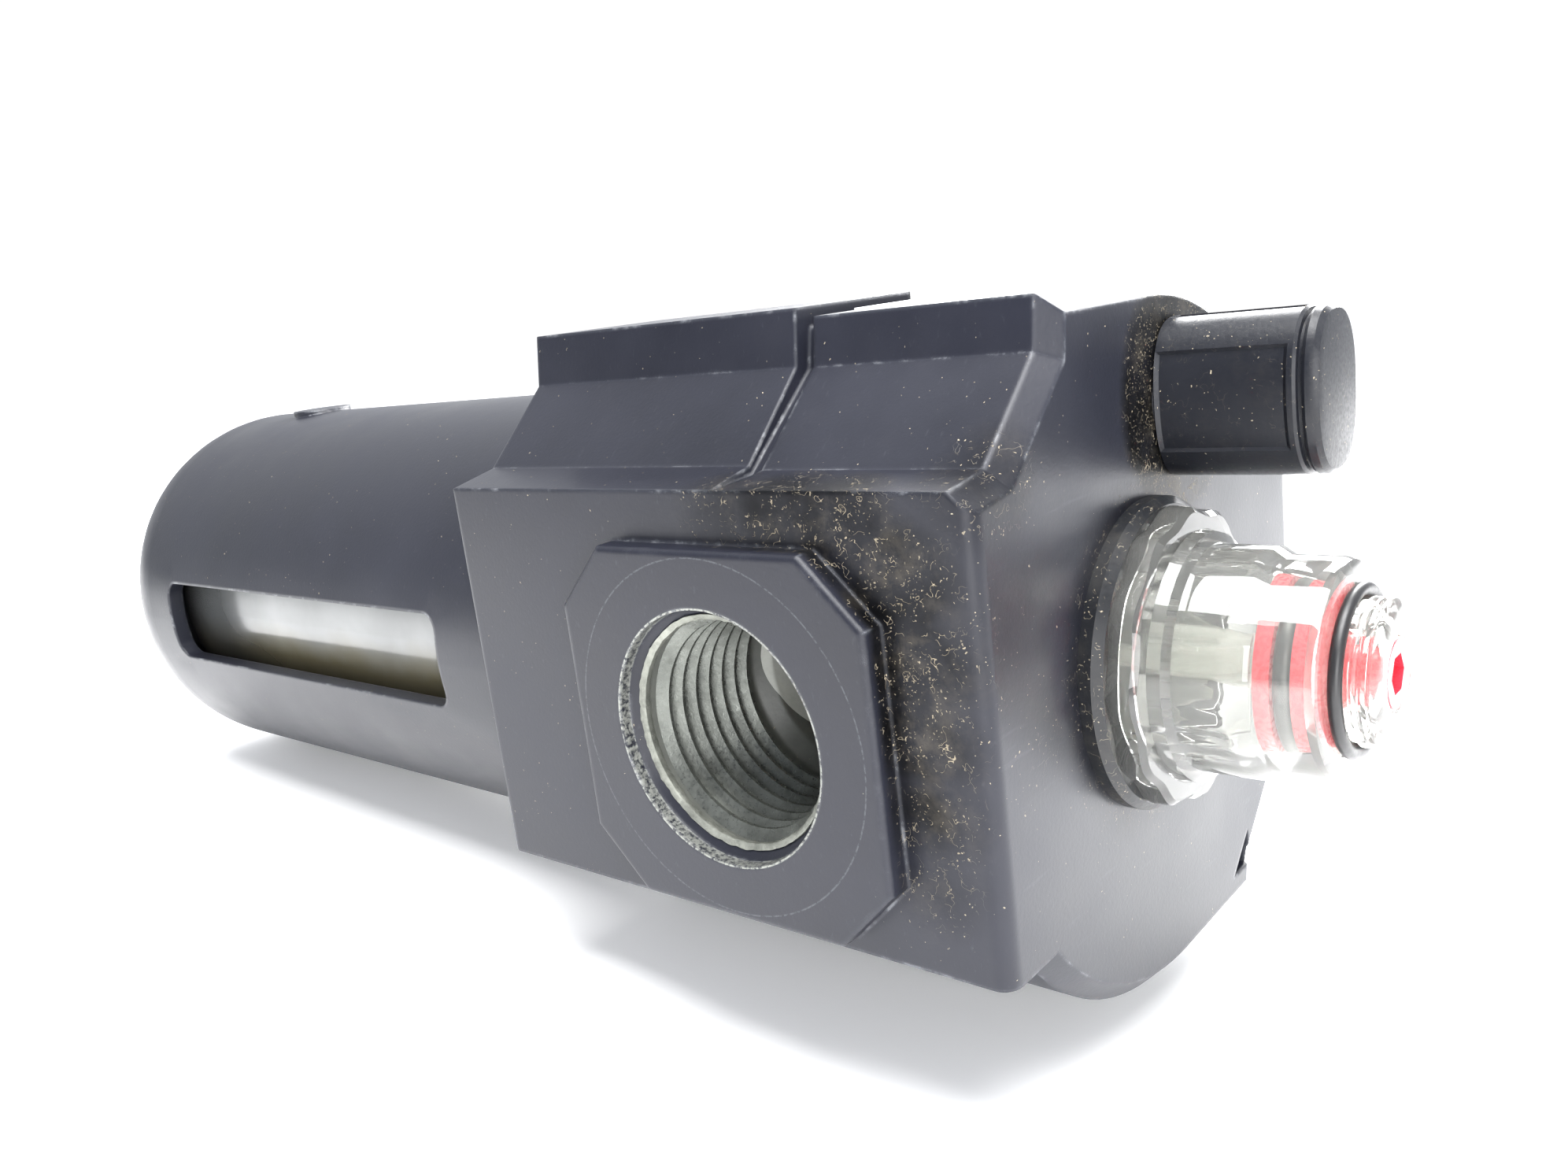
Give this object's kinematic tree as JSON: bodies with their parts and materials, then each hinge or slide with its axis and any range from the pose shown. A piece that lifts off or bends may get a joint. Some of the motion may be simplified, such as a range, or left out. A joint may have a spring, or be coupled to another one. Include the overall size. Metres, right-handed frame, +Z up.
{
  "type": "air line lubricator",
  "caption": "Air-line oil-mist lubricator: die-cast head with two threaded ports, slotted bowl guard, translucent bowl, clear sight dome with red drip screw and a fill plug.",
  "frame": {"origin": "on the port axis, where the inlet port's thread starts, 2.1 mm inside its face", "axes": "+X along the ports from inlet to outlet, +Z up towards the sight dome, -Y towards the front panel"},
  "size_m": [0.068, 0.0672, 0.1848],
  "materials": {
    "head_paint": "semi-matt black enamel on die-cast zinc or aluminium, dusty",
    "label_film": "blank satin film",
    "insert_plastic": "moulded acetal",
    "vane_rubber": "moulded polyurethane",
    "steel": "plain steel",
    "tube_plastic": "translucent nylon",
    "sintered_bronze": "sintered, grainy",
    "bowl_plastic": "milky translucent polymer with an oil film",
    "seal_rubber": "nitrile rubber",
    "guard_paint": "semi-matt black enamel on drawn steel",
    "drain_plastic": "moulded nylon",
    "clear_plastic": "polished clear polymer with a faint yellow tint",
    "gasket_rubber": "nitrile rubber, dusty",
    "red_plastic": "moulded acetal",
    "plug_plastic": "moulded nylon, dusty in its hollows"
  },
  "bodies": {
    "casting": {"head": "head_paint", "front_label": "label_film", "vane_frame": "insert_plastic", "vane_pin": "steel", "valve_clip": "steel", "valve_spring": "steel", "siphon_tube": "tube_plastic", "siphon_foot": "insert_plastic", "siphon_strainer": "sintered_bronze", "sight_dome": "clear_plastic", "dome_gasket": "gasket_rubber", "dome_neck_ring": "seal_rubber", "standpipe": "tube_plastic"},
    "flow_vane": {"flow_vane": "vane_rubber"},
    "valve_ball": {"valve_ball": "steel"},
    "foot_ball": {"foot_ball": "steel"},
    "bowl_group": {"bowl": "bowl_plastic", "bowl_o_ring": "seal_rubber", "drain_stem": "drain_plastic", "drain_seal": "seal_rubber", "drain_nut": "drain_plastic"},
    "guard": {"bowl_guard": "guard_paint"},
    "drain_knob": {"drain_knob": "drain_plastic"},
    "screw_ring": {"adjusting_ring": "seal_rubber"},
    "screw": {"adjusting_screw": "red_plastic"},
    "plug_ring": {"fill_plug_ring": "seal_rubber"},
    "plug": {"fill_plug": "plug_plastic"}
  },
  "joints": [
    {"name": "vane_swing", "type": "hinge", "parent": "casting", "child": "flow_vane", "pos_m": [0.0319, 0, 0.0061], "axis": [0, -1, 0], "range_deg": [0, 50], "stiffness_Nm_per_rad": 0.0004},
    {"name": "valve_ball_lift", "type": "slide", "parent": "casting", "child": "valve_ball", "axis": [0, 0, -1], "range_m": [0, 0.0006], "stiffness_N_per_m": 60, "springref_m": -0.0005, "deforming": ["valve_spring"]},
    {"name": "foot_ball_lift", "type": "slide", "parent": "casting", "child": "foot_ball", "axis": [0, 0, 1], "range_m": [0, 0.0007]},
    {"name": "bowl_drop", "type": "slide", "parent": "casting", "child": "bowl_group", "axis": [0, 0, -1], "range_m": [0, 0.012]},
    {"name": "guard_turn", "type": "hinge", "parent": "bowl_group", "child": "guard", "pos_m": [0.0319, 0, -0.0347], "axis": [0, 0, 1], "range_deg": [0, 1080]},
    {"name": "drain_turn", "type": "hinge", "parent": "bowl_group", "child": "drain_knob", "pos_m": [0.0319, 0, -0.137], "axis": [0, 0, 1], "range_deg": [0, 90]},
    {"name": "screw_travel", "type": "slide", "parent": "casting", "child": "screw_ring", "axis": [0, 0, -1], "range_m": [0, 0.001]},
    {"name": "screw_turn", "type": "hinge", "parent": "screw_ring", "child": "screw", "pos_m": [0.036, -0.0014, 0.042], "axis": [0, 0, -1], "range_deg": [0, 480]},
    {"name": "plug_travel", "type": "slide", "parent": "casting", "child": "plug_ring", "axis": [0, 0, 1], "range_m": [0, 0.012]},
    {"name": "plug_turn", "type": "hinge", "parent": "plug_ring", "child": "plug", "pos_m": [0.0277, -0.023, 0.026], "axis": [0, 0, 1], "range_deg": [0, 2880]}
  ],
  "couplings": [
    {"joint": "guard_turn", "follows": "bowl_drop", "rad_per_m": 1570.8},
    {"joint": "screw_turn", "follows": "screw_travel", "rad_per_m": 8377.6},
    {"joint": "plug_turn", "follows": "plug_travel", "rad_per_m": 4188.8}
  ]
}
